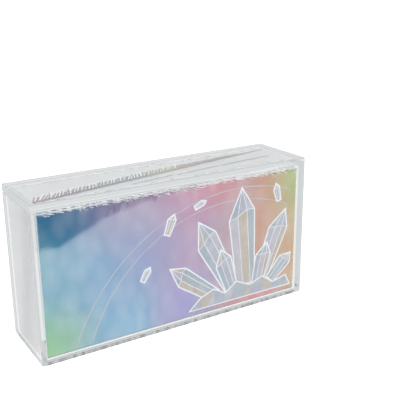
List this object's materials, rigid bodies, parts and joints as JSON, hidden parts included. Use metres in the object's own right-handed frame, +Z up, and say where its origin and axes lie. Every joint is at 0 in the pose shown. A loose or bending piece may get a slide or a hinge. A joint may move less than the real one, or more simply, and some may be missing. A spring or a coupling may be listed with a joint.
{
  "type": "trading card display case",
  "caption": "Clear acrylic display case with a lift-off lid, holding a film-wrapped carton of trading card packs.",
  "frame": {"origin": "middle of the footprint, on the surface that the case stands on", "axes": "+X along the length, to the viewer's right; the front faces -Y; +Z up"},
  "size_m": [0.15, 0.0396, 0.0772],
  "materials": {
    "clear_acrylic": "clear cast sheet, polished faces and bevelled edges",
    "printed_board": "rainbow foil print on the front, silver-white on the other walls",
    "plain_board": "silver-white coated board",
    "clear_film": "clear shrink film with fine wrinkles",
    "pack_foil": "crimped foil pouch round a stack of cards"
  },
  "bodies": {
    "case": {"base_panel": "clear_acrylic", "front_panel": "clear_acrylic", "back_panel": "clear_acrylic", "left_end_panel": "clear_acrylic", "right_end_panel": "clear_acrylic"},
    "lid": {"lid_plate": "clear_acrylic", "lid_locating_plate": "clear_acrylic"},
    "card_box": {"carton_sleeve": "printed_board", "top_tuck_flap": "plain_board", "bottom_tuck_flap": "plain_board", "top_dust_flaps": "plain_board", "bottom_dust_flaps": "plain_board", "film_wrap": "clear_film", "film_seam": "clear_film", "pack_1": "pack_foil", "pack_2": "pack_foil", "pack_3": "pack_foil", "pack_4": "pack_foil", "pack_5": "pack_foil", "pack_6": "pack_foil", "pack_7": "pack_foil", "pack_8": "pack_foil", "pack_9": "pack_foil", "pack_10": "pack_foil"}
  },
  "joints": [
    {"name": "lid_lift", "type": "slide", "parent": "case", "child": "lid", "axis": [0, 0, 1], "range_m": [0, 0.16]},
    {"name": "box_lift", "type": "slide", "parent": "case", "child": "card_box", "axis": [0, 0, 1], "range_m": [0, 0.08]}
  ],
  "couplings": [
    {"joint": "box_lift", "follows": "lid_lift", "ratio": 0.5}
  ]
}
